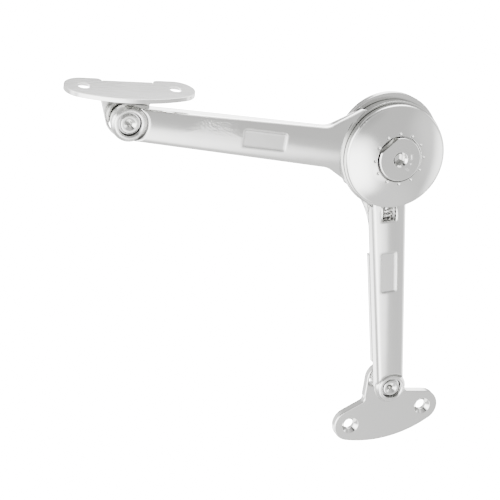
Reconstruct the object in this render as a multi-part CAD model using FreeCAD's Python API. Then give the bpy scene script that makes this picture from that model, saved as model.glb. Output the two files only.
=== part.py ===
import FreeCAD, Part
import math
import os

os.makedirs("parts", exist_ok=True)

# A folding lid stay. It is drawn about the hub axle, which runs along Y. The viewer's side is -Y.
# At the end every piece moves so that the origin is the middle of the cabinet plate's two
# screw holes, on the face that lies against the cabinet side. Millimetres and degrees.

# Pose of the photograph, angles from +X towards +Z
LID_ARM_ANGLE = 169.1
CABINET_ARM_ANGLE = -88.0
LID_PLATE_ANGLE = -6.0
CABINET_PLATE_ANGLE = 7.4

# Reach of the two arms, hub axle to end rivet
LID_REACH = 100.6
CABINET_REACH = 96.5

# Layers from the viewer's side to the cabinet side. PAST is how far a cut runs out of a face,
# NEAR is how close an edge must lie to a place to be picked.
FLAT_GAP = 0.3
PAST = 1.0
NEAR = 0.01
DOME_TOP_Y = -2.7
FACE_Y = 2.0
DISC_REAR_Y = 3.0
WEB_T = 0.8
SHELL_REAR_Y = 7.4
TAIL_REAR_Y = 9.8
CAVITY_FLOOR_Y = 9.4
HUB_REAR_Y = 11.2
CABINET_PLATE_T = 3.0
LID_PLATE_T = 1.6
HUB_FRONT_Y = DISC_REAR_Y + FLAT_GAP
WEB_REAR_Y = HUB_FRONT_Y + WEB_T
HUB_RIM_REAR_Y = SHELL_REAR_Y - FLAT_GAP
PLATE_FRONT_Y = HUB_REAR_Y + FLAT_GAP
WALL_Y = PLATE_FRONT_Y + CABINET_PLATE_T

# Hub disc of the cabinet arm
DISC_R = 19.6
DISC_EDGE_R = 0.9
DOME_EDGE_Y = 0.0
DIAL_HOLE_R = 8.7
RECESS_FLOOR_Y = -0.2
SPRING_POCKET_R = 6.2
SPRING_POCKET_Y = 1.5
SCALE_DOTS = 12
SCALE_DOT_R = 0.62
SCALE_DOT_PITCH_R = 9.5
SCALE_DOT_SINK = -0.1
DOME_SAG = 0.45

# Hub of the lid arm and the rear housing
LID_HUB_R = 20.4
LID_HUB_WALL = 1.8
GROOVE_R = 21.3
HOUSING_R = 20.2
HOUSING_RISE = 2.6
HOUSING_CAVITY_R = 16.4
HOUSING_LIP_R = 0.6
HOUSING_EDGE_R = 1.2
CAVITY_FROM_ANGLE = 40.0
CAVITY_TO_ANGLE = 184.0

# Axle, dial and the friction stack
AXLE_R = 4.0
AXLE_TENON_R = 3.2
AXLE_HEAD_R = 4.2
AXLE_HEAD_T = 0.9
AXLE_FRONT_Y = 1.7
RUNNING = 0.05
DIAL_R = 8.15
DIAL_FACE_Y = -3.7
DIAL_BACK_Y = -0.5
DIAL_EDGE_R = 0.45
DIAL_FLAT = 7.0
DIAL_FLAT_ANGLE = 128.0
DIAL_SCREW_R = 2.45
DIAL_SCREW_END_Y = 7.0
THREAD_RUNOUT = 0.5
KEY_SIDES = 6
KEY_FLATS = 4.0
KEY_DEPTH = 3.2
KEY_LEAD_R = 2.85
DISC_SPRING_R = 5.9
DISC_SPRING_BORE_R = 2.7
DISC_SPRING_T = 0.35
PRESSURE_T = 0.6
FRICTION_FRONT_R = 15.0
FRICTION_FRONT_BORE_R = 7.0
FRICTION_REAR_R = 6.8

# Cam, follower and spring
CAM_R_SMALL = 7.4
CAM_R_LARGE = 9.0
CAM_RISE_FROM_ANGLE = 52.0
CAM_RISE_TO_ANGLE = 170.0
CAM_PIN_R = 1.0
CAM_PIN_PITCH_R = 5.7
CAM_PIN_ANGLE = 15.0
CAM_PIN_SKIN = 0.1
CAM_PIN_END_Y = 8.0
CAM_POINTS = 6
CAM_REAR_Y = CAVITY_FLOOR_Y - FLAT_GAP
CHANNEL_OFFSET = -1.2
CHANNEL_W = 4.8
CHANNEL_REAR_Y = 8.9
CHANNEL_END = 45.5
ROLLER_R = 2.3
ROLLER_BORE_R = 0.85
ROLLER_T = 2.2
ROLLER_GAP = 0.12
ROLLER_SIDE_GAP = 0.15
SPRING_Y = 6.5
SPRING_R = 2.1
WIRE_R = 0.38
SPRING_PITCH = 1.85
SPRING_TURNS = 14
PLUNGER_W = 4.3
STEM_R = 1.1
STEM_L = 7.0
PLUNGER_DEPTH = 4.0
FORK_REACH = 1.4
FORK_BASE = 1.5
CHANNEL_SEAT_DEPTH = 4.3
WINDOW_W = 6.1
WINDOW_MIDDLE = -1.95
WINDOW_START = 18.0
WINDOW_END = 25.4

# Plan of the arms: half widths, flares and ends
LID_HALF_HUB = 7.6
LID_HALF_END = 5.8
LID_FLARE_S = 27.5
LID_FLARE_TIP_S = 12.5
LID_FLARE_TIP_W = 16.9
LID_LOW_FLARE_S = 24.7
LID_LOW_TIP_W = 15.4
LID_REAR_AT_HUB_Y = 6.6
LID_REAR_AT_END_Y = 9.4
LID_POCKET_START = 34.0
LID_POCKET_END = LID_REACH - 16.0
POCKET_CORNER_R = 1.5
LID_POCKET_FLOOR_Y = 4.6
LID_WALL = 1.7
LID_RIBS = 3
RIB_T = 1.4
CABINET_LEFT_HUB = 8.3
CABINET_LEFT_END = 5.9
CABINET_RIGHT_HUB = 5.5
CABINET_RIGHT_END = 5.2
SHELL_STEP_S = 40.0
SHELL_STEP_W = 1.1
NECK_R = 16.0
NECK_LEFT_R = 34.0
NECK_STEPS = 6
CABINET_MIDDLE = -1.4
FLARE_R = 8.0
TAIL_END_GAP = 10.5
TAIL_END_S = CABINET_REACH - TAIL_END_GAP
ARM_CROWN = 0.7
ARM_EDGE_R = 1.4
PANEL_L = 16.2
PANEL_W = 6.2
PANEL_DEPTH = 0.35
PANEL_CORNER_R = 0.5
LID_PANEL_S = 51.4
CABINET_PANEL_S = 46.3
CABINET_PANEL_W = -2.0

# Ends of the arms and their rivets
BOSS_R = 6.45
BOSS_EDGE_R = 0.9
BOSS_LAND = 0.45
BOSS_LAND_DROP = 0.25
BOSS_FRONT_Y = 3.1
BOSS_REAR_Y = 4.9
CABINET_END_R = 5.4
SPACER_R = 4.1
LIP_R = 5.55
LIP_Y = 2.4
LIP_EDGE_R = 0.3
COUNTERBORE_R = 4.2
COUNTERBORE_Y = 5.0
BUSH_R = 3.0
BUSH_FLANGE_R = 3.9
BUSH_FLANGE_T = 0.5
RIVET_R = 2.0
RIVET_HEAD_R = 3.3
RIVET_HEAD_Y = 2.9
RIVET_HEAD_EDGE_R = 0.5
RIVET_DISH_R = 2.2
RIVET_DISH_DEPTH = 0.9
RIVET_HOLE_R = 0.95
RIVET_HOLE_DEPTH = 4.0
RIVET_TAIL_R = 2.9
RIVET_TAIL_DEPTH = 1.0
PEG_GAP = 0.1
CABINET_PEG_ANGLE = 158.0
LID_PEG_ANGLE = 170.0

# Fastening plates
HOLE_PITCH = 32.0
SCREW_HOLE_R = 2.1
SCREW_CONE_R = 3.5
SCREW_CONE_DEPTH = 1.4
LOBE_R = 6.9
PLATE_DROP = 10.1
PIVOT_RISE = 17.0
SHOULDER_ANGLE = 16.0
SHOULDER_LEAN = math.tan(math.radians(SHOULDER_ANGLE))
LUG_R = 6.8
LUG_HALF_FOOT = 8.6
LUG_FOOT_Q = 11.4
LUG_ROOT_R = 1.8
SLOT_R_IN = 4.45
SLOT_R_OUT = 5.9
SLOT_FROM_ANGLE = 20.0
SLOT_TO_ANGLE = 186.0
PLATE_EDGE_R = 0.4
FLANGE_HEIGHT = 13.6
FLANGE_TIP_ANGLE = 12.0
BEND_R = 1.6
BEND_INNER_R = 0.4
BEND_ZONE = 3.4
RELIEF_DEPTH = 2.2
RELIEF_W = 0.35
RELIEF_R = 2.0

HOUSING_SCREW_R = 1.0
HOUSING_SCREW_HEAD_R = 1.6
HOUSING_SCREW_MARGIN = 2.1
HOUSING_SCREW_PAIR_GAP = 5.5
HOUSING_SCREW_END_GAP = 5.0
HOUSING_SCREW_HEAD_T = 0.9
HOUSING_SCREW_TIP_Y = 4.8
SCREW_SLOT_W = 0.45
SCREW_SLOT_DEPTH = 0.4
SCREW_SLOT_LAND = 0.5

Y_AXIS = FreeCAD.Vector(0, 1, 0)
ORIGIN = FreeCAD.Vector(0, 0, 0)
HALF_TURN = math.degrees(math.pi)


def at(s, y, w):
    return FreeCAD.Vector(s, y, w)


def polar(radius, degrees):
    angle = math.radians(degrees)
    return radius * math.cos(angle), radius * math.sin(angle)


def cylinder(radius, y_front, y_rear, s=0.0, w=0.0):
    return Part.makeCylinder(radius, y_rear - y_front, at(s, y_front, w), Y_AXIS)


def ring(radius, bore, y_front, y_rear):
    return cylinder(radius, y_front, y_rear).cut(cylinder(bore, y_front, y_rear))


def cone(r_front, r_rear, y_front, y_rear, s=0.0, w=0.0):
    return Part.makeCone(r_front, r_rear, y_rear - y_front, at(s, y_front, w), Y_AXIS)


def box(s0, s1, y0, y1, w0, w1):
    return Part.makeBox(s1 - s0, y1 - y0, w1 - w0, at(s0, y0, w0))


def line(a, b):
    return Part.LineSegment(a, b).toShape()


def arc(a, b, c):
    return Part.Arc(a, b, c).toShape()


def turned(edges):
    face = Part.Face(Part.Wire(edges))
    return face.revolve(ORIGIN, Y_AXIS, 2 * HALF_TURN)


def slab(edges, y_front, y_rear):
    """Extrude a closed outline, drawn at any depth, from one layer to another."""
    face = Part.Face(Part.Wire(edges))
    face.translate(at(0, y_front - face.BoundBox.YMin, 0))
    return face.extrude(at(0, y_rear - y_front, 0))


def ring_of(points):
    pairs = zip(points, points[1:] + points[:1])
    return [line(at(a[0], 0, a[1]), at(b[0], 0, b[1])) for a, b in pairs]


def profile_of(points):
    """Closed outline for turning, from radius and depth pairs."""
    pairs = zip(points, points[1:] + points[:1])
    return [line(at(a[0], a[1], 0), at(b[0], b[1], 0)) for a, b in pairs]


def turn(shape, degrees):
    """Swing a piece about the hub axle, positive from +X towards +Z."""
    moved = shape.copy()
    moved.rotate(ORIGIN, Y_AXIS, -degrees)
    return moved


def vertical_edges(shape, places):
    """Edges along Y that stand on the given plan points."""
    found = []
    for edge in shape.Edges:
        ends = [v.Point for v in edge.Vertexes]
        if len(ends) != 2 or abs(ends[0].x - ends[1].x) + abs(ends[0].z - ends[1].z) > NEAR:
            continue
        if any(math.hypot(ends[0].x - s, ends[0].z - w) < NEAR for s, w in places):
            found.append(edge)
    return found


def edges_at(shape, y):
    """Edges that lie wholly in one layer."""
    return [e for e in shape.Edges if e.BoundBox.YLength < NEAR and abs(e.BoundBox.YMin - y) < NEAR]


def crowned(length_from, length_to, y_rear, middle=0.0):
    """A long block whose front is a shallow barrel, to give an arm its crowned face."""
    half = 2.0 * LID_HALF_HUB
    edge_y = FACE_Y + ARM_CROWN * (half / LID_HALF_HUB) ** 2
    front = arc(at(length_from, edge_y, middle - half), at(length_from, FACE_Y, middle),
                at(length_from, edge_y, middle + half))
    sides = [line(at(length_from, edge_y, middle + half), at(length_from, y_rear, middle + half)),
             line(at(length_from, y_rear, middle + half), at(length_from, y_rear, middle - half)),
             line(at(length_from, y_rear, middle - half), at(length_from, edge_y, middle - half))]
    face = Part.Face(Part.Wire([front] + sides))
    return face.extrude(at(length_to - length_from, 0, 0))


def wedge(s0, y0, s1, y1, half_width, y_far):
    """Block behind a sloping plane, used to give the lid arm its sloping back."""
    lean = (y1 - y0) / (s1 - s0)
    far = s1 + s0
    points = [(0.0, y0), (s0, y0), (s1, y1), (far, y1 + s0 * lean), (far, y_far), (0.0, y_far)]
    edges = [line(at(a[0], a[1], -half_width), at(b[0], b[1], -half_width))
             for a, b in zip(points, points[1:] + points[:1])]
    return Part.Face(Part.Wire(edges)).extrude(at(0, 0, 2 * half_width))


# Round end shared by both arms: boss, raised lip, counterbore for bush and rivet

def end_boss(end_r, end_y):
    """Ring with a raised lip, the rounded arm end behind it and a spacer up to the plate."""
    points = [(0, LIP_Y), (LIP_R - LIP_EDGE_R, LIP_Y), (LIP_R, LIP_Y + LIP_EDGE_R), (LIP_R, BOSS_FRONT_Y),
              (BOSS_R - BOSS_LAND, BOSS_FRONT_Y + BOSS_LAND_DROP), (BOSS_R, BOSS_FRONT_Y + BOSS_EDGE_R),
              (BOSS_R, BOSS_REAR_Y), (end_r, BOSS_REAR_Y), (end_r, end_y), (SPACER_R, end_y),
              (SPACER_R, HUB_REAR_Y), (0, HUB_REAR_Y)]
    return turned(profile_of(points))


def end_bores(reach):
    """Space cleared for lip, counterbore and bush at the end of an arm."""
    bore = cylinder(BUSH_R, FACE_Y - PAST, HUB_REAR_Y + PAST)
    counterbore = cylinder(COUNTERBORE_R, FACE_Y - PAST, COUNTERBORE_Y)
    both = bore.fuse(counterbore)
    both.translate(at(reach, 0, 0))
    return both


def end_bush():
    body = cylinder(BUSH_R, COUNTERBORE_Y, HUB_REAR_Y)
    flange = cylinder(BUSH_FLANGE_R, COUNTERBORE_Y - BUSH_FLANGE_T, COUNTERBORE_Y)
    return body.fuse(flange).cut(cylinder(RIVET_R + RUNNING, FACE_Y, HUB_REAR_Y)).removeSplitter()


def end_rivet(plate_rear_y):
    """Semi-tubular rivet: dished round head, hollow end, tail spread in the plate."""
    head_rear = COUNTERBORE_Y - BUSH_FLANGE_T
    head = cylinder(RIVET_HEAD_R, RIVET_HEAD_Y, head_rear)
    head = head.makeFillet(RIVET_HEAD_EDGE_R, edges_at(head, RIVET_HEAD_Y))
    shank = cylinder(RIVET_R, head_rear, plate_rear_y)
    tail = cone(RIVET_R, RIVET_TAIL_R, plate_rear_y - RIVET_TAIL_DEPTH, plate_rear_y)
    dish = cone(RIVET_DISH_R, RIVET_HOLE_R, RIVET_HEAD_Y, RIVET_HEAD_Y + RIVET_DISH_DEPTH)
    hollow = cylinder(RIVET_HOLE_R, RIVET_HEAD_Y, RIVET_HEAD_Y + RIVET_HOLE_DEPTH)
    return head.fuse([shank, tail]).cut(dish.fuse(hollow)).removeSplitter()


def end_washer():
    return ring(SPACER_R, RIVET_R + RUNNING, HUB_REAR_Y, PLATE_FRONT_Y)


def end_peg(reach, end_y, arm_angle, plate_angle, peg_angle):
    """Stop peg on the back of the arm end; it runs in the curved slot of the plate."""
    s, w = polar((SLOT_R_OUT + SLOT_R_IN) / 2, peg_angle + plate_angle - arm_angle)
    radius = (SLOT_R_OUT - SLOT_R_IN) / 2 - PEG_GAP
    return cylinder(radius, end_y - radius, PLATE_FRONT_Y + LID_PLATE_T - FLAT_GAP, reach + s, w)


# Fastening plates, drawn in their own frame: p along the screw holes, q towards the rivet

def lobe_arc_points():
    """The big front arc touches both lobes; its centre lies on q."""
    half = HOLE_PITCH / 2
    drop = PLATE_DROP
    big = (half ** 2 + drop ** 2 - LOBE_R ** 2) / (2 * (drop - LOBE_R))
    centre_q = big - drop
    scale = big / (big - LOBE_R)
    touch_p = half * scale
    touch_q = centre_q - centre_q * scale
    return drop, touch_p, touch_q


def plate_outline(shoulders):
    half = HOLE_PITCH / 2
    drop, touch_p, touch_q = lobe_arc_points()
    bottom = arc(at(-touch_p, 0, touch_q), at(0, 0, -drop), at(touch_p, 0, touch_q))
    top_q, top_p = polar(LOBE_R, SHOULDER_ANGLE if shoulders else 0.0)
    right = arc(at(touch_p, 0, touch_q), at(half + LOBE_R, 0, 0), at(half + top_p, 0, top_q))
    left = arc(at(-half - top_p, 0, top_q), at(-half - LOBE_R, 0, 0), at(-touch_p, 0, touch_q))
    rise = top_q + SHOULDER_LEAN * (half + top_p)
    if shoulders:
        top = [line(at(half + top_p, 0, top_q), at(0, 0, rise)),
               line(at(0, 0, rise), at(-half - top_p, 0, top_q))]
    else:
        top = [line(at(half, 0, LOBE_R), at(-half, 0, LOBE_R))]
    return [bottom, right] + top + [left]


def lug_outline(foot_q):
    """Rounded lug about the rivet, spreading towards its foot."""
    half = LUG_HALF_FOOT
    side = math.degrees(math.atan2(PIVOT_RISE - LUG_FOOT_Q, half))
    reach = math.hypot(half, PIVOT_RISE - LUG_FOOT_Q)
    angle = math.degrees(math.acos(LUG_R / reach)) - side
    touch_p, rise = polar(LUG_R, angle)
    touch_q = PIVOT_RISE + rise
    top = arc(at(touch_p, 0, touch_q), at(0, 0, PIVOT_RISE + LUG_R), at(-touch_p, 0, touch_q))
    points = [(-touch_p, touch_q), (-half, LUG_FOOT_Q), (-half, foot_q), (half, foot_q),
              (half, LUG_FOOT_Q), (touch_p, touch_q)]
    return [top] + [line(at(a[0], 0, a[1]), at(b[0], 0, b[1])) for a, b in zip(points, points[1:])]


def screw_hole(p, front_y, rear_y, cone_rear):
    hole = cylinder(SCREW_HOLE_R, front_y - PAST, rear_y + PAST, p)
    if cone_rear:
        return hole.fuse(cone(SCREW_HOLE_R, SCREW_CONE_R, rear_y - SCREW_CONE_DEPTH, rear_y, p))
    return hole.fuse(cone(SCREW_CONE_R, SCREW_HOLE_R, front_y, front_y + SCREW_CONE_DEPTH, p))


def stop_slot(y_front, y_rear):
    """Curved slot round the rivet, with round ends."""
    mid_r = (SLOT_R_IN + SLOT_R_OUT) / 2
    half = (SLOT_R_OUT - SLOT_R_IN) / 2
    angles = [SLOT_FROM_ANGLE, (SLOT_FROM_ANGLE + SLOT_TO_ANGLE) / 2, SLOT_TO_ANGLE]
    outer = [polar(SLOT_R_OUT, a) for a in angles]
    inner = [polar(SLOT_R_IN, a) for a in reversed(angles)]
    span = [[at(x, 0, z) for x, z in side] for side in (outer, inner)]
    edges = [arc(*span[0]), line(span[0][2], span[1][0]), arc(*span[1]), line(span[1][2], span[0][0])]
    slot = slab(edges, y_front, y_rear)
    ends = [cylinder(half, y_front, y_rear, *polar(mid_r, a)) for a in (SLOT_FROM_ANGLE, SLOT_TO_ANGLE)]
    slot = slot.fuse(ends)
    slot.translate(at(0, 0, PIVOT_RISE))
    return slot


def rivet_hole(y_front, y_rear):
    tail = cone(RIVET_R, RIVET_TAIL_R, y_rear - RIVET_TAIL_DEPTH, y_rear)
    hole = cylinder(RIVET_R, y_front, y_rear).fuse(tail)
    hole.translate(at(0, 0, PIVOT_RISE))
    return hole


def cabinet_plate():
    y0, y1 = PLATE_FRONT_Y, WALL_Y
    body = slab(plate_outline(True), y0, y1).fuse(slab(lug_outline(0.0), y0, y1)).removeSplitter()
    outward = HOLE_PITCH / 2 - LUG_HALF_FOOT
    root_q = LOBE_R / math.cos(math.radians(SHOULDER_ANGLE)) + outward * SHOULDER_LEAN
    roots = vertical_edges(body, ((LUG_HALF_FOOT, root_q), (-LUG_HALF_FOOT, root_q)))
    body = body.makeFillet(LUG_ROOT_R, roots)
    body = body.makeFillet(PLATE_EDGE_R, edges_at(body, y0))
    for side in (-1, 1):
        body = body.cut(screw_hole(side * HOLE_PITCH / 2, y0, y1, False))
    return body.cut(stop_slot(y0 - PAST, y1 + PAST)).cut(rivet_hole(y0, y1))


def bend_strip():
    """Section of the bend, between the ear and the flange that leans forward and down."""
    y0, y1, top, t = PLATE_FRONT_Y, PLATE_FRONT_Y + LID_PLATE_T, FLANGE_HEIGHT, LID_PLATE_T
    c, s = polar(1.0, FLANGE_TIP_ANGLE)
    far_y, far_z = y1 - BEND_ZONE * c, top - BEND_ZONE * s
    inner_z = top - t * (c + (1.0 + s) * s / c)
    points = [(y0, top - 2 * BEND_ZONE), (y1, top - 2 * BEND_ZONE), (y1, top), (far_y, far_z),
              (far_y + t * s, far_z - t * c), (y0, inner_z)]
    pairs = zip(points, points[1:] + points[:1])
    edges = [line(at(-LUG_HALF_FOOT, *a), at(-LUG_HALF_FOOT, *b)) for a, b in pairs]
    strip = Part.Face(Part.Wire(edges)).extrude(at(2 * LUG_HALF_FOOT, 0, 0))
    for y, z, radius in ((y1, top, BEND_R), (y0, inner_z, BEND_INNER_R)):
        corner = [e for e in strip.Edges if e.BoundBox.Center.distanceToPoint(at(0, y, z)) < NEAR]
        strip = strip.makeFillet(radius, corner)
    return strip


def lid_plate():
    """Ear behind the arm end, bent forward over it into a screw flange."""
    y0, y1 = PLATE_FRONT_Y, PLATE_FRONT_Y + LID_PLATE_T
    ear = slab(lug_outline(PIVOT_RISE - FLANGE_HEIGHT + 2 * BEND_ZONE), y0, y1)
    ear = ear.cut(stop_slot(y0 - PAST, y1 + PAST)).cut(rivet_hole(y0, y1))
    ear.translate(at(0, 0, -PIVOT_RISE))
    ear.rotate(ORIGIN, Y_AXIS, HALF_TURN)
    # The flange lies flat while it is shaped, then tips about the bend
    flange = slab(plate_outline(False), 0.0, LID_PLATE_T)
    gap = LUG_HALF_FOOT + RELIEF_W
    window = box(-gap, gap, 0.0, LID_PLATE_T, LOBE_R - RELIEF_DEPTH, LOBE_R)
    flange = flange.cut(window)
    flange = flange.makeFillet(RELIEF_R, vertical_edges(flange, ((gap, LOBE_R), (-gap, LOBE_R))))
    for side in (-1, 1):
        flange = flange.cut(screw_hole(side * HOLE_PITCH / 2, 0.0, LID_PLATE_T, True))
    flange.rotate(ORIGIN, at(1, 0, 0), -HALF_TURN / 2)
    flange.translate(at(0, y1 - LOBE_R, FLANGE_HEIGHT))
    flange.rotate(at(0, y1, FLANGE_HEIGHT), at(1, 0, 0), FLANGE_TIP_ANGLE)
    return bend_strip().fuse([ear, flange]).removeSplitter()


# The two arms, drawn with the hub at the start of s and the end rivet on the s axis

def arm_body(outline, corners, y_rear, reach, middle):
    """Crowned arm: plan outline, eased corners and a rounded edge along the front."""
    block = slab(ring_of(outline), FACE_Y - PAST, y_rear)
    if corners:
        block = block.makeFillet(FLARE_R, vertical_edges(block, corners))
    body = block.common(crowned(-PAST, reach + PAST, y_rear + PAST, middle))
    front = max((f for f in body.Faces if f.normalAt(0, 0).y < 0.0), key=lambda f: f.Area)
    rim = [e for e in front.Edges if e.BoundBox.XLength > FLARE_R]
    return body.makeFillet(ARM_EDGE_R, rim)


def panel(s, w):
    """Shallow bare field pressed into the face of an arm."""
    half_s, half_w = PANEL_L / 2, PANEL_W / 2
    floor_y = FACE_Y + PANEL_DEPTH
    field = box(s - half_s, s + half_s, FACE_Y - PAST, floor_y, w - half_w, w + half_w)
    corners = [(s + i * half_s, w + j * half_w) for i in (-1, 1) for j in (-1, 1)]
    return field.makeFillet(PANEL_CORNER_R, vertical_edges(field, corners))


def with_end(body, reach, end_r, end_y):
    """Join the round end to an arm and clear its bores."""
    body = body.cut(cylinder(BOSS_R, FACE_Y - PAST, BOSS_REAR_Y, reach))
    boss = end_boss(end_r, end_y)
    boss.translate(at(reach, 0, 0))
    return body.fuse(boss).cut(end_bores(reach)).removeSplitter()


def hub_sector(radius, y_front, y_rear):
    """Wedge of a disc, open where the follower passes during the travel."""
    middle = (CAVITY_FROM_ANGLE + CAVITY_TO_ANGLE) / 2
    points = [(0.0, 0.0)] + [polar(2 * radius, a) for a in (CAVITY_FROM_ANGLE, middle, CAVITY_TO_ANGLE)]
    fan = slab(ring_of(points), y_front, y_rear)
    return fan.common(cylinder(radius, y_front, y_rear))


def lid_outline():
    """Plan of the lid arm: it spreads towards the hub, more steeply on the upper side."""
    run = LID_FLARE_S - LID_FLARE_TIP_S
    end, half_hub, half_end = LID_REACH, LID_HALF_HUB, LID_HALF_END
    upper = [(LID_FLARE_TIP_S, -LID_FLARE_TIP_W), (LID_FLARE_S, -half_hub), (end, -half_end)]
    return upper + [(end, half_end), (LID_LOW_FLARE_S, half_hub), (LID_LOW_FLARE_S - run, LID_LOW_TIP_W)]


def lid_arm():
    end, end_y = LID_REACH, LID_REAR_AT_END_Y
    corners = [(LID_FLARE_S, -LID_HALF_HUB), (LID_LOW_FLARE_S, LID_HALF_HUB)]
    body = arm_body(lid_outline(), corners, end_y, end, 0.0)
    back = wedge(LID_FLARE_S, LID_REAR_AT_HUB_Y, LID_POCKET_END, end_y, LID_FLARE_TIP_W, HUB_REAR_Y)
    body = body.cut(back).cut(lid_pocket()).cut(panel(LID_PANEL_S, 0.0))
    body = with_end(body, end, LID_HALF_END, end_y)
    # Hub cup: thin web under the disc of the other arm, rim open towards the follower
    body = body.cut(cylinder(GROOVE_R, FACE_Y - PAST, HUB_FRONT_Y))
    cup = cylinder(LID_HUB_R, HUB_FRONT_Y, HUB_RIM_REAR_Y)
    body = body.fuse(cup).cut(cylinder(LID_HUB_R - LID_HUB_WALL, WEB_REAR_Y, HUB_REAR_Y))
    body = body.cut(hub_sector(LID_HUB_R + FLAT_GAP, WEB_REAR_Y, HUB_REAR_Y))
    body = body.cut(cylinder(AXLE_R + RUNNING, FACE_Y, HUB_REAR_Y))
    for pin in cam_pin_places():
        body = body.cut(cylinder(CAM_PIN_R, HUB_FRONT_Y + CAM_PIN_SKIN, WEB_REAR_Y, *pin))
    peg = end_peg(end, end_y, LID_ARM_ANGLE, LID_PLATE_ANGLE + HALF_TURN, LID_PEG_ANGLE)
    return body.fuse(peg).removeSplitter()


def lid_pocket():
    """Hollow back of the lid arm with cross ribs."""
    s0, s1 = LID_POCKET_START, LID_POCKET_END
    w0, w1 = LID_HALF_HUB - LID_WALL, LID_HALF_END - LID_WALL
    outline = [(s0, -w0), (s1, -w1), (s1, w1), (s0, w0)]
    hollow = slab(ring_of(outline), LID_POCKET_FLOOR_Y, HUB_REAR_Y)
    hollow = hollow.makeFillet(POCKET_CORNER_R, vertical_edges(hollow, outline))
    for index in range(LID_RIBS):
        s = s0 + (s1 - s0) * (index + 1) / (LID_RIBS + 1)
        hollow = hollow.cut(box(s - RIB_T / 2, s + RIB_T / 2, 0, HUB_REAR_Y, -w0, w0))
    return hollow


def hub_disc():
    """Domed disc with the dial recess, the spring pocket and the axle bore."""
    r0, edge = DISC_R, DISC_EDGE_R
    dome_r, dome_y = r0 - edge, DOME_EDGE_Y
    mid_r = (dome_r + DIAL_HOLE_R) / 2
    mid_y = (dome_y + DOME_TOP_Y) / 2 - DOME_SAG
    corner = edge / math.sqrt(2)
    bore = AXLE_R + RUNNING
    steps = [(DIAL_HOLE_R, DOME_TOP_Y), (DIAL_HOLE_R, RECESS_FLOOR_Y), (SPRING_POCKET_R, RECESS_FLOOR_Y),
             (SPRING_POCKET_R, SPRING_POCKET_Y), (bore, SPRING_POCKET_Y), (bore, DISC_REAR_Y),
             (r0, DISC_REAR_Y), (r0, dome_y + edge)]
    edges = [line(at(a[0], a[1], 0), at(b[0], b[1], 0)) for a, b in zip(steps, steps[1:])]
    edges.append(arc(at(r0, dome_y + edge, 0), at(dome_r + corner, dome_y + edge - corner, 0),
                     at(dome_r, dome_y, 0)))
    edges.append(arc(at(dome_r, dome_y, 0), at(mid_r, mid_y, 0), at(DIAL_HOLE_R, DOME_TOP_Y, 0)))
    disc = turned(edges)
    for index in range(SCALE_DOTS):
        s, w = polar(SCALE_DOT_PITCH_R, 2 * HALF_TURN * index / SCALE_DOTS - CABINET_ARM_ANGLE)
        disc = disc.cut(Part.makeSphere(SCALE_DOT_R, at(s, DOME_TOP_Y + SCALE_DOT_SINK, w)))
    return disc


def cabinet_widths(s):
    """Distance of the cabinet arm's left and right edge from its axis at one station."""
    share = (s - GROOVE_R) / (CABINET_REACH - GROOVE_R)
    left = CABINET_LEFT_HUB + (CABINET_LEFT_END - CABINET_LEFT_HUB) * share
    right = CABINET_RIGHT_HUB + (CABINET_RIGHT_END - CABINET_RIGHT_HUB) * share
    return left, right


def cabinet_outline(start, drawn_in, stop):
    """Plan of the cabinet arm between two stations, drawn in from its edges."""
    left = [(s, drawn_in - cabinet_widths(s)[0]) for s in (start, stop)]
    right = [(s, cabinet_widths(s)[1] - drawn_in) for s in (stop, start)]
    return left + right


def channel(y_front, y_rear):
    """Space for the spring, from the hub to the seat."""
    half = CHANNEL_W / 2
    return box(0.0, CHANNEL_END, y_front, y_rear, CHANNEL_OFFSET - half, CHANNEL_OFFSET + half)


def screw_places():
    """A pair of screws behind the spring seat, then two on the middle line of the tail."""
    pair = CHANNEL_END + HOUSING_SCREW_PAIR_GAP
    last = TAIL_END_S - HOUSING_SCREW_END_GAP
    left, right = cabinet_widths(pair)
    places = [(pair, HOUSING_SCREW_MARGIN - left), (pair, right - HOUSING_SCREW_MARGIN)]
    for s in ((pair + last) / 2, last):
        left, right = cabinet_widths(s)
        places.append((s, (right - left) / 2))
    return places


def cabinet_arm():
    """Front shell: domed hub disc, spring window and arm in one casting."""
    outline = cabinet_outline(SPRING_POCKET_R, 0.0, CABINET_REACH)
    body = arm_body(outline, [], SHELL_REAR_Y, CABINET_REACH, CABINET_MIDDLE)
    body = body.cut(cylinder(DIAL_HOLE_R, FACE_Y - PAST, SHELL_REAR_Y))
    body = body.cut(cylinder(LID_HUB_R + 2 * FLAT_GAP, DISC_REAR_Y, HUB_REAR_Y))
    body = body.cut(channel(WEB_REAR_Y, SHELL_REAR_Y)).cut(panel(CABINET_PANEL_S, CABINET_PANEL_W))
    w0, w1 = WINDOW_MIDDLE - WINDOW_W / 2, WINDOW_MIDDLE + WINDOW_W / 2
    window = box(WINDOW_START, WINDOW_END, FACE_Y - PAST, CHANNEL_REAR_Y - CHANNEL_W, w0, w1)
    body = with_end(body.cut(window), CABINET_REACH, CABINET_END_R, SHELL_REAR_Y)
    for s, w in screw_places():
        body = body.cut(cylinder(HOUSING_SCREW_R, HOUSING_SCREW_TIP_Y, SHELL_REAR_Y, s, w))
    peg = end_peg(CABINET_REACH, SHELL_REAR_Y, CABINET_ARM_ANGLE, CABINET_PLATE_ANGLE, CABINET_PEG_ANGLE)
    return body.fuse([hub_disc(), peg]).removeSplitter()


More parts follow.
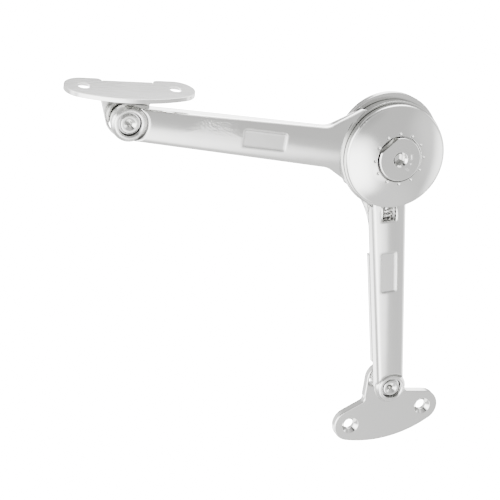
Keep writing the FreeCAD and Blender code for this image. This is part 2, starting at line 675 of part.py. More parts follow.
def rear_housing():
    """Back disc with the cam space, and a tail that closes the spring channel."""
    y0, y1, rise = SHELL_REAR_Y, TAIL_REAR_Y, -HOUSING_RISE
    neck = slab(ring_of(cabinet_outline(0.0, SHELL_STEP_W, SHELL_STEP_S)), y0, y1)
    tail = slab(ring_of(cabinet_outline(SHELL_STEP_S, 0.0, TAIL_END_S)), y0, y1)
    plan = cylinder(HOUSING_R, y0, y1, rise).fuse([neck, tail]).removeSplitter()
    for radius, corner in zip((NECK_LEFT_R, NECK_R), neck_corners()):
        plan = plan.makeFillet(radius, vertical_edges(plan, [corner]))
    disc = cylinder(HOUSING_R, y0, HUB_REAR_Y, rise)
    disc = disc.makeFillet(HOUSING_EDGE_R, edges_at(disc, HUB_REAR_Y))
    disc = disc.makeFillet(HOUSING_LIP_R, edges_at(disc, y0))
    body = plan.cut(cylinder(HOUSING_R - HOUSING_EDGE_R, y0 - PAST, y1 + PAST, rise)).fuse(disc)
    body = body.cut(cylinder(HOUSING_CAVITY_R, y0 - PAST, CAVITY_FLOOR_Y)).cut(channel(y0, CHANNEL_REAR_Y))
    tenon = cylinder(AXLE_TENON_R, y0, HUB_REAR_Y)
    body = body.cut(tenon.fuse(cone(AXLE_TENON_R, AXLE_HEAD_R, HUB_REAR_Y - AXLE_HEAD_T, HUB_REAR_Y)))
    for s, w in screw_places():
        body = body.cut(cylinder(HOUSING_SCREW_R, y0, y1, s, w))
        body = body.cut(cylinder(HOUSING_SCREW_HEAD_R, y1 - HOUSING_SCREW_HEAD_T, y1, s, w))
    return body.removeSplitter()


def neck_corners():
    """Plan points where the neck leaves the back disc."""
    places = []
    for side in (0, 1):
        s = HOUSING_R
        for _ in range(NECK_STEPS):
            w = cabinet_widths(s)[side] - SHELL_STEP_W
            s = math.sqrt(HOUSING_R ** 2 - w ** 2) - HOUSING_RISE
        places.append((s, w if side else -w))
    return places


def housing_screws():
    screws = []
    seat = TAIL_REAR_Y - HOUSING_SCREW_HEAD_T
    half, deep = SCREW_SLOT_W / 2, TAIL_REAR_Y - SCREW_SLOT_DEPTH
    arm = HOUSING_SCREW_HEAD_R - SCREW_SLOT_LAND
    for s, w in screw_places():
        shank = cylinder(HOUSING_SCREW_R, HOUSING_SCREW_TIP_Y, seat, s, w)
        head = cylinder(HOUSING_SCREW_HEAD_R, seat, TAIL_REAR_Y, s, w)
        cross = box(s - arm, s + arm, deep, TAIL_REAR_Y, w - half, w + half)
        cross = cross.fuse(box(s - half, s + half, deep, TAIL_REAR_Y, w - arm, w + arm))
        screws.append(shank.fuse(head).removeSplitter().cut(cross))
    return Part.makeCompound(screws)


# Hub axle, dial and friction stack

def hub_axle():
    body = cylinder(AXLE_R, AXLE_FRONT_Y, CAVITY_FLOOR_Y)
    tenon = cylinder(AXLE_TENON_R, CAVITY_FLOOR_Y, HUB_REAR_Y)
    head = cone(AXLE_TENON_R, AXLE_HEAD_R, HUB_REAR_Y - AXLE_HEAD_T, HUB_REAR_Y)
    thread = cylinder(DIAL_SCREW_R + RUNNING, AXLE_FRONT_Y, DIAL_SCREW_END_Y + THREAD_RUNOUT)
    return body.fuse([tenon, head]).cut(thread).removeSplitter()


def key_socket():
    inner = KEY_FLATS / 2
    step = HALF_TURN / KEY_SIDES
    radius = inner / math.cos(math.radians(step))
    corners = [polar(radius, (2 * i + 1) * step - CABINET_ARM_ANGLE) for i in range(KEY_SIDES)]
    socket = slab(ring_of(corners), DIAL_FACE_Y, DIAL_FACE_Y + KEY_DEPTH)
    return socket.fuse(cone(KEY_LEAD_R, inner, DIAL_FACE_Y, DIAL_FACE_Y + KEY_LEAD_R - inner))


def adjuster_dial():
    head = cylinder(DIAL_R, DIAL_FACE_Y, DIAL_BACK_Y)
    head = head.makeFillet(DIAL_EDGE_R, edges_at(head, DIAL_FACE_Y))
    flat = box(DIAL_FLAT, 2 * DIAL_R, DIAL_FACE_Y, DIAL_BACK_Y, -DIAL_R, DIAL_R)
    flat = turn(flat, DIAL_FLAT_ANGLE - CABINET_ARM_ANGLE)
    shank = cylinder(DIAL_SCREW_R, DIAL_BACK_Y, DIAL_SCREW_END_Y)
    return head.cut(flat).fuse(shank).cut(key_socket()).removeSplitter()


def disc_spring(y_front, outer_forward):
    """Dished spring washer; the outer edge lies forward or to the rear."""
    t, high = DISC_SPRING_T, (SPRING_POCKET_Y - DIAL_BACK_Y - PRESSURE_T) / 2
    y_out, y_in = (y_front, y_front + high - t) if outer_forward else (y_front + high - t, y_front)
    r0, r1 = DISC_SPRING_BORE_R, DISC_SPRING_R
    points = [(r0, y_in), (r0, y_in + t), (r1, y_out + t), (r1, y_out)]
    return turned(profile_of(points))


# Cam and follower

def cam_radius(angle):
    share = (angle - CAM_RISE_FROM_ANGLE) / (CAM_RISE_TO_ANGLE - CAM_RISE_FROM_ANGLE)
    return CAM_R_LARGE - (CAM_R_LARGE - CAM_R_SMALL) * share


def cam_pin_places():
    x, z = polar(CAM_PIN_PITCH_R, CAM_PIN_ANGLE)
    return [(x, z), (-x, -z)]


def cam_disc():
    """Even spiral over the working sector, closed by one round back."""
    sweep = CAM_RISE_TO_ANGLE - CAM_RISE_FROM_ANGLE
    angles = [CAM_RISE_FROM_ANGLE + sweep * i / CAM_POINTS for i in range(CAM_POINTS + 1)]
    points = [polar(cam_radius(a), a) for a in angles]
    points = [at(x, 0, z) for x, z in points]
    curve = Part.BSplineCurve()
    curve.interpolate(points)
    x, z = polar((CAM_R_LARGE + CAM_R_SMALL) / 2, (CAM_RISE_TO_ANGLE + CAM_RISE_FROM_ANGLE) / 2)
    disc = slab([curve.toShape(), arc(points[-1], at(-x, 0, -z), points[0])], WEB_REAR_Y, CAM_REAR_Y)
    disc = disc.cut(cylinder(AXLE_R + RUNNING, WEB_REAR_Y, CAM_REAR_Y))
    for pin in cam_pin_places():
        disc = disc.cut(cylinder(CAM_PIN_R, WEB_REAR_Y, CAM_PIN_END_Y, *pin))
    return disc


def cam_pins():
    y0, y1 = HUB_FRONT_Y + CAM_PIN_SKIN, CAM_PIN_END_Y
    return Part.makeCompound([cylinder(CAM_PIN_R, y0, y1, *place) for place in cam_pin_places()])


def roller_place():
    """Roller centre on the channel line, just clear of the cam at rest."""
    s = CAM_R_SMALL + ROLLER_R
    for _ in range(NECK_STEPS):
        side = math.degrees(math.atan2(CHANNEL_OFFSET, s))
        contact = (CABINET_ARM_ANGLE + side - LID_ARM_ANGLE) % (2 * HALF_TURN)
        reach = cam_radius(contact) + ROLLER_R + ROLLER_GAP
        s = math.sqrt(reach ** 2 - CHANNEL_OFFSET ** 2)
    return s


def follower_roller():
    half = ROLLER_T / 2
    roller = ring(ROLLER_R, ROLLER_BORE_R, SPRING_Y - half, SPRING_Y + half)
    roller.translate(at(roller_place(), 0, CHANNEL_OFFSET))
    return roller


def roller_pin():
    half = PLUNGER_DEPTH / 2
    return cylinder(ROLLER_BORE_R - RUNNING, SPRING_Y - half, SPRING_Y + half, roller_place(), CHANNEL_OFFSET)


def along_channel(radius, s0, s1):
    return Part.makeCylinder(radius, s1 - s0, at(s0, SPRING_Y, CHANNEL_OFFSET), at(1, 0, 0))


def spring_start():
    return roller_place() + ROLLER_R + FLAT_GAP + FORK_BASE


def spring_plunger():
    """Forked slider that carries the roller, with a stem inside the spring."""
    s0, s1 = roller_place(), spring_start()
    half, w0 = PLUNGER_DEPTH / 2, CHANNEL_OFFSET - PLUNGER_W / 2
    body = box(s0 - FORK_REACH, s1, SPRING_Y - half, SPRING_Y + half, w0, w0 + PLUNGER_W)
    y0, y1 = SPRING_Y - ROLLER_T / 2 - ROLLER_SIDE_GAP, SPRING_Y + ROLLER_T / 2 + ROLLER_SIDE_GAP
    body = body.cut(box(s0 - 2 * ROLLER_R, s1 - FORK_BASE, y0, y1, w0, w0 + PLUNGER_W))
    body = body.cut(cylinder(ROLLER_BORE_R - RUNNING, 0, HUB_REAR_Y, s0, CHANNEL_OFFSET))
    return body.fuse(along_channel(STEM_R, s1, s1 + STEM_L)).removeSplitter()


def compression_spring():
    length = SPRING_TURNS * SPRING_PITCH
    helix = Part.makeHelix(SPRING_PITCH, length, SPRING_R - WIRE_R)
    section = Part.Wire(Part.Circle(at(SPRING_R - WIRE_R, 0, 0), Y_AXIS, WIRE_R).toShape())
    coil = Part.Wire(helix).makePipeShell([section], True, True)
    coil.rotate(ORIGIN, Y_AXIS, HALF_TURN / 2)
    coil.translate(at(spring_start() + WIRE_R, SPRING_Y, CHANNEL_OFFSET))
    return coil


def seat_start():
    return spring_start() + SPRING_TURNS * SPRING_PITCH + 2 * WIRE_R


def spring_seat():
    half = CHANNEL_SEAT_DEPTH / 2
    s0, w0 = seat_start(), CHANNEL_OFFSET - PLUNGER_W / 2
    block = box(s0, CHANNEL_END, SPRING_Y - half, SPRING_Y + half, w0, w0 + PLUNGER_W)
    return block.fuse(along_channel(STEM_R, s0 - STEM_L, s0)).removeSplitter()


# Placing and writing

def placed(shape, angle, reach_s=0.0, reach_angle=0.0):
    """Turn a piece into its pose and move it out to the end of an arm."""
    moved = turn(shape, angle)
    x, z = polar(reach_s, reach_angle)
    moved.translate(at(x, 0, z))
    return moved


def mount_origin():
    """Middle of the two screw holes of the cabinet plate, on its back."""
    x, z = polar(CABINET_REACH, CABINET_ARM_ANGLE)
    dz, dx = polar(PIVOT_RISE, CABINET_PLATE_ANGLE)
    return at(x + dx, WALL_Y, z - dz)


def write(name, shape):
    moved = shape.copy()
    moved.translate(mount_origin() * -1.0)
    solid = moved.Solids[0] if len(moved.Solids) == 1 else moved
    solid.exportStep("parts/" + name + ".step")


def write_cabinet_side():
    angle, reach = CABINET_ARM_ANGLE, CABINET_REACH
    plate = cabinet_plate()
    plate.translate(at(0, 0, -PIVOT_RISE))
    write("cabinet_plate", placed(plate, CABINET_PLATE_ANGLE, reach, angle))
    for name, piece in (("cabinet_rivet", end_rivet(WALL_Y)), ("cabinet_bush", end_bush()),
                        ("cabinet_washer", end_washer())):
        write(name, placed(piece, angle, reach, angle))
    for name, piece in (("cabinet_arm", cabinet_arm()), ("rear_housing", rear_housing()),
                        ("housing_screws", housing_screws()), ("hub_axle", hub_axle()),
                        ("adjuster_dial", adjuster_dial()), ("follower_roller", follower_roller()),
                        ("roller_pin", roller_pin()), ("spring_plunger", spring_plunger()),
                        ("compression_spring", compression_spring()), ("spring_seat", spring_seat())):
        write(name, placed(piece, angle))


def write_friction_stack():
    pocket = DIAL_BACK_Y + PRESSURE_T
    half = (SPRING_POCKET_Y - pocket) / 2
    write("pressure_washer", ring(DISC_SPRING_R, DISC_SPRING_BORE_R, DIAL_BACK_Y, pocket))
    write("disc_spring_front", disc_spring(pocket, True))
    write("disc_spring_rear", disc_spring(pocket + half, False))
    write("friction_ring_front", ring(FRICTION_FRONT_R, FRICTION_FRONT_BORE_R, DISC_REAR_Y, HUB_FRONT_Y))
    write("friction_ring_rear", ring(FRICTION_REAR_R, AXLE_R + RUNNING, CAM_REAR_Y, CAVITY_FLOOR_Y))


def write_lid_side():
    angle, reach = LID_ARM_ANGLE, LID_REACH
    for name, piece in (("lid_arm", lid_arm()), ("cam_disc", cam_disc()), ("cam_pins", cam_pins())):
        write(name, placed(piece, angle))
    write("lid_plate", placed(lid_plate(), LID_PLATE_ANGLE, reach, angle))
    plate_rear = PLATE_FRONT_Y + LID_PLATE_T
    for name, piece in (("lid_rivet", end_rivet(plate_rear)), ("lid_bush", end_bush()),
                        ("lid_washer", end_washer())):
        write(name, placed(piece, angle, reach, angle))


write_cabinet_side()
write_friction_stack()
write_lid_side()
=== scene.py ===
import math

import bpy
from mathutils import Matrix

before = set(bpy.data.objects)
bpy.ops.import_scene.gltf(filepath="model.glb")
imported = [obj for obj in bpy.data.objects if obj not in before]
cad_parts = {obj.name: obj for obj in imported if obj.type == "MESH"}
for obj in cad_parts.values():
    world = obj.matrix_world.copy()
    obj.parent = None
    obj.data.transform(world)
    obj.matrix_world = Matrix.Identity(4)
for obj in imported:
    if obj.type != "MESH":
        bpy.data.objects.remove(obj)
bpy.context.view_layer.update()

bl_info = {
    "name": "Folding lid stay",
    "version": (1, 0, 0),
    "blender": (4, 5, 0),
    "location": "3D Viewport > Sidebar > Lid Stay",
    "description": "Dresses the packed lid stay in its plated finishes and sets the photo stage",
    "category": "Object",
}

MM = 0.001
MICRON = 0.000001

# Hub axis in X and Z, and the two distances from it between which the softened edges grow from the
# hub's width to the arms' width, in metres
HUB = (-0.005557, 0.1133)
EDGE_CHANGE = (0.0205, 0.0225)

# Way that each arm lies, in degrees about Y
LID_ARM_TURN = -10.9
CABINET_ARM_TURN = -88.0

# Marked places on the arms and the dial: centre, and half the length, depth and width, in metres, the
# turn about Y in degrees, the share of the size that fades out, the depth of the lumps in metres and
# their size in millimetres, the added roughness and the share without plating
RECESSED_FIELD = {"halves": (0.0081, 0.002, 0.0031), "fade": 0.05, "depth": 2 * MICRON, "lump_mm": 0.5,
                  "rougher": 0.06, "unplated": 0.0}
LID_FIELD = dict(RECESSED_FIELD, centre=(-0.05602, -0.0125, 0.12302), turn=LID_ARM_TURN)
CABINET_FIELD = dict(RECESSED_FIELD, centre=(-0.00594, -0.0125, 0.06698), turn=CABINET_ARM_TURN)
LID_GRIT = {"centre": (-0.0733, -0.0125, 0.12995), "turn": LID_ARM_TURN, "halves": (0.0125, 0.002, 0.0046),
            "fade": 0.9, "depth": 0.14 * MM, "lump_mm": 0.55, "rougher": 0.0, "unplated": 0.0}
SPRING_WINDOW = {"centre": (-0.00675, -0.0081, 0.09155), "turn": CABINET_ARM_TURN,
                 "halves": (0.008, 0.0026, 0.0055), "fade": 0.02, "depth": 2 * MICRON, "lump_mm": 0.5,
                 "rougher": 0.45, "unplated": 0.9}
PRESSED_STROKE = {"fade": 0.5, "depth": 0.3 * MM, "lump_mm": 40.0, "rougher": 0.0, "unplated": 0.0}
DIAL_MARKS = (
    dict(PRESSED_STROKE, centre=(-0.00105, -0.0182, 0.11408), turn=92.0, halves=(0.0012, 0.002, 0.00035)),
    dict(PRESSED_STROKE, centre=(-0.00271, -0.0182, 0.10946), turn=139.0, halves=(0.001, 0.002, 0.00035)),
    dict(PRESSED_STROKE, centre=(-0.00132, -0.0182, 0.1115), turn=100.0, halves=(0.0003, 0.002, 0.0003),
         fade=0.6, depth=0.2 * MM),
)

# Slow clouds in the gloss: their size in millimetres, and how far they take the roughness down and up
CLOUD_MM = 9.0
CLOUD_GLOSS = (0.8, 1.2)

# Rays that find an edge, or a crevice for the painted shade
EDGE_SAMPLES = 8

# Panels of the light tent: azimuth from the front towards the right and elevation, inner and outer
# half angle of the soft edge, all in degrees, and strength. Negative ones are dark gaps.
TENT_PANELS = (
    (-21.0, -22.0, 4.0, 36.0, 8.0),
    (-69.0, 8.0, 2.0, 41.0, 10.0),
    (-17.0, -61.0, 29.0, 64.0, 0.6),
    (98.0, -12.0, 22.0, 44.0, 3.6),
    (91.0, 63.0, 20.0, 30.0, 3.0),
    (144.0, 58.0, 12.0, 30.0, 12.0),
    (60.0, -3.0, 2.0, 35.0, 0.7),
    (14.0, -21.5, 3.0, 9.0, 3.0),
    (-132.0, -4.0, 2.0, 56.0, 1.2),
    (-165.0, -32.0, 4.0, 18.0, 5.0),
    (162.0, -52.0, 14.0, 26.0, 1.8),
    (158.0, 14.0, 8.0, 16.0, 7.0),
    (163.0, -18.0, 12.0, 25.0, -1.3),
    (-176.0, 10.0, 8.0, 22.0, -0.7),
    (-17.0, 40.0, 2.0, 30.0, -0.4),
    (-63.0, 45.0, 13.0, 25.0, -2.4),
)
# What is left of the light in the darkest gap
TENT_DARKEST = 0.15

FLOOR_SIZE = 80.0
SENSOR_WIDTH_MM = 36.0


# Shared helpers

def linear(hex_colour):
    """Turn an sRGB hex colour into the linear values that shaders take."""
    channels = [int(hex_colour[i:i + 2], 16) / 255.0 for i in (1, 3, 5)]
    return tuple(c / 12.92 if c <= 0.04045 else ((c + 0.055) / 1.055) ** 2.4 for c in channels) + (1.0,)


def per_metre(millimetres):
    """Noise scale for a pattern whose lumps are this many millimetres across."""
    return 1000.0 / millimetres


def add_node(tree, kind, values=None, links=None):
    """Add one shader node, set its values and feed its inputs."""
    node = tree.nodes.new(kind)
    for name, value in (values or {}).items():
        if isinstance(name, int) or name in node.inputs:
            node.inputs[name].default_value = value
        else:
            setattr(node, name, value)
    for name, socket in (links or {}).items():
        tree.links.new(socket, node.inputs[name])
    return node


def start_material(name):
    """Material with an empty node tree, and that tree."""
    material = bpy.data.materials.new(name)
    material.use_nodes = True
    material.node_tree.nodes.clear()
    return material, material.node_tree


def shaded_box(tree, where, mark):
    """Mask that is 1 in a marked place, a box turned about the Y axis, and fades out at its edge."""
    turn = math.radians(mark["turn"])
    axes = (
        (math.cos(turn), 0.0, math.sin(turn)),
        (0.0, 1.0, 0.0),
        (-math.sin(turn), 0.0, math.cos(turn)),
    )
    from_centre = add_node(tree, "ShaderNodeVectorMath", {"operation": "SUBTRACT", 1: mark["centre"]},
                           {0: where}).outputs["Vector"]
    outer = None
    for axis, half in zip(axes, mark["halves"]):
        along = add_node(tree, "ShaderNodeVectorMath", {"operation": "DOT_PRODUCT", 1: axis},
                         {0: from_centre})
        size = add_node(tree, "ShaderNodeMath", {"operation": "ABSOLUTE"}, {0: along.outputs["Value"]})
        share = add_node(tree, "ShaderNodeMath", {"operation": "DIVIDE", 1: half},
                         {0: size.outputs["Value"]})
        if outer:
            share = add_node(tree, "ShaderNodeMath", {"operation": "MAXIMUM"},
                             {0: outer, 1: share.outputs["Value"]})
        outer = share.outputs["Value"]
    mask = add_node(tree, "ShaderNodeMapRange",
                    {"interpolation_type": "SMOOTHSTEP", "From Min": 1.0, "From Max": 1.0 - mark["fade"]},
                    {"Value": outer})
    return mask.outputs["Result"]


def edge_width(tree, where, arm_mm, hub_mm):
    """Width of the softened edges: crisp on the round hub, wider on the arms."""
    from_hub = add_node(tree, "ShaderNodeVectorMath",
                        {"operation": "MULTIPLY_ADD", 1: (1.0, 0.0, 1.0), 2: (-HUB[0], 0.0, -HUB[1])},
                        {0: where})
    reach = add_node(tree, "ShaderNodeVectorMath", {"operation": "LENGTH"},
                     {0: from_hub.outputs["Vector"]})
    width = add_node(tree, "ShaderNodeMapRange",
                     {"From Min": EDGE_CHANGE[0], "From Max": EDGE_CHANGE[1], "To Min": hub_mm * MM,
                      "To Max": arm_mm * MM},
                     {"Value": reach.outputs["Value"]})
    return width.outputs["Result"]


def plated_metal(name, colour, roughness, grain, waves, edges_mm, painted_shade_mm, marks=(),
                 stretch=(1.0, 1.0, 1.0)):
    """Metal with a fine grain, slow waves, softened edges, painted shade in crevices and marked places.

    The grain and the waves are each a lump size in millimetres and a depth in metres. The edges are
    the width on the arms and on the hub.
    """
    material, tree = start_material(name)
    where = add_node(tree, "ShaderNodeTexCoord").outputs["Object"]
    stretched = add_node(tree, "ShaderNodeVectorMath", {"operation": "MULTIPLY", 1: stretch}, {0: where})
    fine = add_node(tree, "ShaderNodeTexNoise", {"Scale": per_metre(grain[0]), "Detail": 3.0},
                    {"Vector": stretched.outputs["Vector"]})
    slow = add_node(tree, "ShaderNodeTexNoise", {"Scale": per_metre(waves[0]), "Detail": 1.0},
                    {"Vector": where})
    cloud = add_node(tree, "ShaderNodeTexNoise", {"Scale": per_metre(CLOUD_MM), "Detail": 2.0},
                     {"Vector": where})
    gloss = add_node(tree, "ShaderNodeMapRange",
                     {"To Min": roughness * CLOUD_GLOSS[0], "To Max": roughness * CLOUD_GLOSS[1]},
                     {"Value": cloud.outputs["Fac"]}).outputs["Result"]
    normal = add_node(tree, "ShaderNodeBevel", {"samples": EDGE_SAMPLES},
                      {"Radius": edge_width(tree, where, *edges_mm)}).outputs["Normal"]
    for lumps, depth in ((fine, grain[1]), (slow, waves[1])):
        normal = add_node(tree, "ShaderNodeBump", {"Strength": 1.0, "Distance": depth},
                          {"Height": lumps.outputs["Fac"], "Normal": normal}).outputs["Normal"]
    plating = None
    for mark in marks:
        mask = shaded_box(tree, where, mark)
        lumps = add_node(tree, "ShaderNodeTexNoise",
                         {"Scale": per_metre(mark["lump_mm"]), "Detail": 2.0}, {"Vector": where})
        height = add_node(tree, "ShaderNodeMath", {"operation": "MULTIPLY"},
                          {0: mask, 1: lumps.outputs["Fac"]})
        normal = add_node(tree, "ShaderNodeBump", {"Strength": 1.0, "Distance": mark["depth"]},
                          {"Height": height.outputs["Value"], "Normal": normal}).outputs["Normal"]
        gloss = add_node(tree, "ShaderNodeMath", {"operation": "MULTIPLY_ADD", 1: mark["rougher"]},
                         {0: mask, 2: gloss}).outputs["Value"]
        if mark["unplated"] > 0.0:
            plating = add_node(tree, "ShaderNodeMath",
                               {"operation": "MULTIPLY_ADD", 1: -mark["unplated"], 2: 1.0}, {0: mask})
    # Painted shade: the base colour is darkened in crevices, hollows and between parts, where shade falls
    painted_shade = add_node(tree, "ShaderNodeAmbientOcclusion",
                       {"samples": EDGE_SAMPLES, "Color": linear(colour), "Distance": painted_shade_mm * MM})
    shader = add_node(tree, "ShaderNodeBsdfPrincipled", {"Metallic": 1.0},
                      {"Base Color": painted_shade.outputs["Color"], "Roughness": gloss, "Normal": normal})
    if plating:
        tree.links.new(plating.outputs["Value"], shader.inputs["Metallic"])
    add_node(tree, "ShaderNodeOutputMaterial", None, {"Surface": shader.outputs["BSDF"]})
    return material


def dress(nodes, material):
    """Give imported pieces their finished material."""
    for node in nodes:
        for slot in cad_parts[node].material_slots:
            slot.material = material


# Finishes. The grain of a satin plate is finer than a pixel, so each is drawn as coarse as a pixel.

def satin_nickel_on_zinc(look, piece, marks):
    # Tumbled zinc casting under satin nickel: soft broad reflections, rounded edges, slow waves
    return plated_metal("satin_nickel_on_zinc_" + piece, look.nickel, look.casting_gloss,
                        grain=(0.35, 1 * MICRON), waves=(6.0, 12 * MICRON), edges_mm=(1.2, 0.3),
                        painted_shade_mm=0.7, marks=marks)


def satin_nickel_on_steel(look):
    # Pressed strip under the same nickel: flat, with faint rolling streaks along its length
    return plated_metal("satin_nickel_on_steel", look.nickel, look.plate_gloss,
                        grain=(0.8, 14 * MICRON), waves=(12.0, 4 * MICRON), edges_mm=(0.25, 0.25),
                        painted_shade_mm=0.3, stretch=(0.1, 1.0, 1.0))


def satin_nickel_on_dial(look):
    # Turned steel dial under nickel, with three pressed marks beside the hexagon
    return plated_metal("satin_nickel_on_turned_steel", look.nickel, look.plate_gloss,
                        grain=(0.25, 1 * MICRON), waves=(8.0, 3 * MICRON), edges_mm=(0.2, 0.2),
                        painted_shade_mm=0.45, marks=DIAL_MARKS)


def ground_steel(look):
    # Hardened and ground steel with an oil film: darker, tight reflections
    return plated_metal("ground_oiled_steel", look.steel, 0.24, grain=(0.2, 1 * MICRON),
                        waves=(5.0, 2 * MICRON), edges_mm=(0.1, 0.1), painted_shade_mm=0.2)


def spring_wire(look):
    # Drawn and nickel-plated spring wire, smooth and light
    return plated_metal("drawn_spring_wire", look.wire, 0.5, grain=(0.2, 1 * MICRON),
                        waves=(2.0, 2 * MICRON), edges_mm=(0.05, 0.05), painted_shade_mm=0.1)


def bright_zinc(look):
    # Zinc-plated screws: bluish white, a little cloudy
    return plated_metal("bright_zinc_plate", look.zinc, 0.3, grain=(0.2, 1 * MICRON),
                        waves=(2.0, 3 * MICRON), edges_mm=(0.1, 0.1), painted_shade_mm=0.2)


def black_acetal(look):
    # Moulded acetal: black, waxy, with a fine moulding grain
    material, tree = start_material("moulded_black_acetal")
    where = add_node(tree, "ShaderNodeTexCoord").outputs["Object"]
    grain = add_node(tree, "ShaderNodeTexNoise", {"Scale": per_metre(0.3), "Detail": 2.0},
                     {"Vector": where})
    bump = add_node(tree, "ShaderNodeBump", {"Strength": 1.0, "Distance": 4 * MICRON},
                    {"Height": grain.outputs["Fac"]})
    shader = add_node(tree, "ShaderNodeBsdfPrincipled",
                      {"Base Color": linear(look.acetal), "Roughness": 0.42, "IOR": 1.48},
                      {"Normal": bump.outputs["Normal"]})
    add_node(tree, "ShaderNodeOutputMaterial", None, {"Surface": shader.outputs["BSDF"]})
    return material


class LIDSTAY_PG_look(bpy.types.PropertyGroup):
    nickel: bpy.props.StringProperty(
        name="Nickel", description="Colour of the nickel plate", default="#CDCDCB")
    steel: bpy.props.StringProperty(
        name="Ground steel", description="Colour of the bare inner parts", default="#C2C2C2")
    wire: bpy.props.StringProperty(
        name="Spring wire", description="Colour of the coil and the cone washers", default="#ECECEA")
    zinc: bpy.props.StringProperty(
        name="Zinc plate", description="Colour of the screws", default="#C4C8CC")
    acetal: bpy.props.StringProperty(
        name="Acetal", description="Colour of the friction rings and washers", default="#141414")
    casting_gloss: bpy.props.FloatProperty(
        name="Casting roughness", description="Roughness of the plated castings", default=0.13,
        min=0.05, max=1.0)
    plate_gloss: bpy.props.FloatProperty(
        name="Plate roughness", description="Roughness of the plates, rivets and dial", default=0.11,
        min=0.05, max=1.0)


class LIDSTAY_PG_stage(bpy.types.PropertyGroup):
    floor_drop: bpy.props.FloatProperty(
        name="Floor below plate", description="Height of the screw holes above the floor", default=0.3,
        unit="LENGTH")
    floor_light: bpy.props.FloatProperty(
        name="Floor light", description="Glow of the lit floor", default=18.0)
    camera_place: bpy.props.FloatVectorProperty(
        name="Camera place", description="Where the photo was taken from",
        default=(-0.18297, -0.40593, 0.23130), subtype="TRANSLATION")
    camera_turn: bpy.props.FloatProperty(
        name="Camera turn", description="How far left of square the camera stands",
        default=math.radians(17.15), subtype="ANGLE")
    camera_rise: bpy.props.FloatProperty(
        name="Camera rise", description="How steeply the camera looks down",
        default=math.radians(19.9), subtype="ANGLE")
    lens: bpy.props.FloatProperty(
        name="Lens", description="Focal length on a 36 mm wide sensor", default=86.0,
        subtype="DISTANCE_CAMERA")
    room_light: bpy.props.FloatProperty(
        name="Room light", description="Even light of the tent", default=1.2)


class LIDSTAY_OT_castings(bpy.types.Operator):
    """Finish the two arms and the rear housing as plated die castings"""
    bl_idname = "lidstay.castings"
    bl_label = "Castings"

    def execute(self, context):
        look = context.scene.lidstay_look
        marks = {
            "cabinet_arm": (CABINET_FIELD, SPRING_WINDOW),
            "lid_arm": (LID_FIELD, LID_GRIT),
            "rear_housing": (SPRING_WINDOW,),
        }
        for node, places in marks.items():
            dress((node,), satin_nickel_on_zinc(look, node, places))
        return {"FINISHED"}


class LIDSTAY_OT_plates(bpy.types.Operator):
    """Finish the plates, rivets and dial as plated steel"""
    bl_idname = "lidstay.plates"
    bl_label = "Plates, rivets and dial"

    def execute(self, context):
        look = context.scene.lidstay_look
        dress(("cabinet_plate", "lid_plate", "cabinet_rivet", "lid_rivet"), satin_nickel_on_steel(look))
        dress(("adjuster_dial",), satin_nickel_on_dial(look))
        return {"FINISHED"}


class LIDSTAY_OT_works(bpy.types.Operator):
    """Finish the springs, cam, follower, rings, bushes, washers and screws"""
    bl_idname = "lidstay.works"
    bl_label = "Inner works"

    def execute(self, context):
        look = context.scene.lidstay_look
        dress(("cabinet_bush", "lid_bush", "hub_axle", "spring_seat", "pressure_washer", "cam_disc",
               "cam_pins", "spring_plunger", "roller_pin", "follower_roller"), ground_steel(look))
        dress(("compression_spring", "disc_spring_front", "disc_spring_rear"), spring_wire(look))
        dress(("friction_ring_front", "friction_ring_rear", "cabinet_washer", "lid_washer"),
              black_acetal(look))
        dress(("housing_screws",), bright_zinc(look))
        return {"FINISHED"}


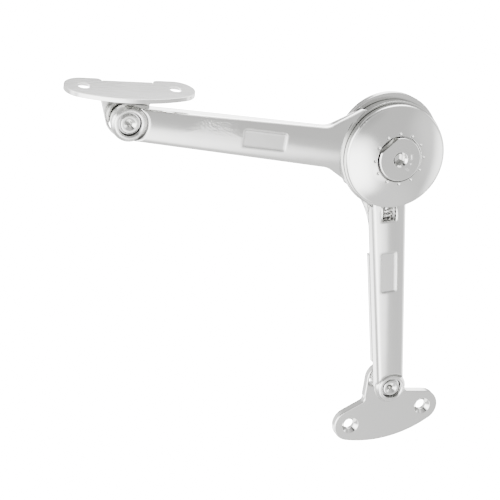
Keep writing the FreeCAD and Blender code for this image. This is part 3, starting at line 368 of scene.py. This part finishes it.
class LIDSTAY_OT_stage(bpy.types.Operator):
    """Set the pale floor, the soft light and the photo's camera"""
    bl_idname = "lidstay.stage"
    bl_label = "Stage"

    def execute(self, context):
        stage = context.scene.lidstay_stage
        self.lay_floor(stage)
        self.light_room(context.scene, stage)
        self.place_camera(context.scene, stage)
        return {"FINISHED"}

    def lay_floor(self, stage):
        # Evenly lit white acrylic, bright enough to leave no shadow, kept out of the metal's reflections
        bpy.ops.mesh.primitive_plane_add(size=FLOOR_SIZE, location=(0.0, 0.0, -stage.floor_drop))
        floor = bpy.context.object
        floor.name = "studio_floor"
        floor.visible_glossy = False
        material, tree = start_material("lit_white_acrylic")
        shader = add_node(tree, "ShaderNodeBsdfPrincipled",
                          {"Base Color": linear("#F4F4F4"), "Roughness": 0.9,
                           "Emission Color": linear("#FFFFFF"), "Emission Strength": stage.floor_light})
        add_node(tree, "ShaderNodeOutputMaterial", None, {"Surface": shader.outputs["BSDF"]})
        floor.data.materials.append(material)

    def light_room(self, scene, stage):
        """A light tent: an even pale room with soft bright panels and soft dark gaps."""
        world = bpy.data.worlds.new("light_tent")
        scene.world = world
        world.use_nodes = True
        tree = world.node_tree
        tree.nodes.clear()
        direction = add_node(tree, "ShaderNodeTexCoord").outputs["Generated"]
        total = None
        for azimuth, elevation, inner, outer, strength in TENT_PANELS:
            panel = self.add_panel(tree, direction, azimuth, elevation, inner, outer, strength)
            total = panel if total is None else add_node(
                tree, "ShaderNodeMath", {"operation": "ADD"}, {0: total, 1: panel}).outputs["Value"]
        room = add_node(tree, "ShaderNodeMath", {"operation": "ADD", 1: stage.room_light}, {0: total})
        lit = add_node(tree, "ShaderNodeMath", {"operation": "MAXIMUM", 1: TENT_DARKEST},
                       {0: room.outputs["Value"]})
        sky = add_node(tree, "ShaderNodeBackground", {"Color": linear("#FFFFFF")},
                       {"Strength": lit.outputs["Value"]})
        add_node(tree, "ShaderNodeOutputWorld", None, {"Surface": sky.outputs["Background"]})

    def add_panel(self, tree, direction, azimuth, elevation, inner, outer, strength):
        """Soft round light, or dark gap where the strength is negative, in one direction."""
        around, up = math.radians(azimuth), math.radians(elevation)
        axis = (math.sin(around) * math.cos(up), -math.cos(around) * math.cos(up), math.sin(up))
        dot = add_node(tree, "ShaderNodeVectorMath", {"operation": "DOT_PRODUCT", 1: axis},
                       {0: direction})
        panel = add_node(tree, "ShaderNodeMapRange",
                         {"interpolation_type": "SMOOTHSTEP", "From Min": math.cos(math.radians(outer)),
                          "From Max": math.cos(math.radians(inner)), "To Min": 0.0, "To Max": strength},
                         {"Value": dot.outputs["Value"]})
        return panel.outputs["Result"]

    def place_camera(self, scene, stage):
        data = bpy.data.cameras.new("photo_camera")
        data.lens = stage.lens
        data.sensor_width = SENSOR_WIDTH_MM
        camera = bpy.data.objects.new("photo_camera", data)
        camera.location = stage.camera_place
        camera.rotation_euler = (math.radians(90.0) - stage.camera_rise, 0.0, -stage.camera_turn)
        scene.collection.objects.link(camera)
        scene.camera = camera


OPERATORS = (LIDSTAY_OT_castings, LIDSTAY_OT_plates, LIDSTAY_OT_works, LIDSTAY_OT_stage)


class LIDSTAY_PT_panel(bpy.types.Panel):
    """Lists the stay's operators and settings"""
    bl_label = "Lid Stay"
    bl_idname = "LIDSTAY_PT_panel"
    bl_space_type = "VIEW_3D"
    bl_region_type = "UI"
    bl_category = "Lid Stay"

    def draw(self, context):
        layout = self.layout
        for operator in OPERATORS:
            layout.operator(operator.bl_idname)
        for group in (context.scene.lidstay_look, context.scene.lidstay_stage):
            for name in group.__annotations__:
                layout.prop(group, name)


CLASSES = (LIDSTAY_PG_look, LIDSTAY_PG_stage) + OPERATORS + (LIDSTAY_PT_panel,)


def register():
    for cls in CLASSES:
        bpy.utils.register_class(cls)
    bpy.types.Scene.lidstay_look = bpy.props.PointerProperty(type=LIDSTAY_PG_look)
    bpy.types.Scene.lidstay_stage = bpy.props.PointerProperty(type=LIDSTAY_PG_stage)


def unregister():
    del bpy.types.Scene.lidstay_stage
    del bpy.types.Scene.lidstay_look
    for cls in reversed(CLASSES):
        bpy.utils.unregister_class(cls)


def main():
    register()
    bpy.ops.lidstay.castings()
    bpy.ops.lidstay.plates()
    bpy.ops.lidstay.works()
    bpy.ops.lidstay.stage()


if __name__ == "__main__":
    main()
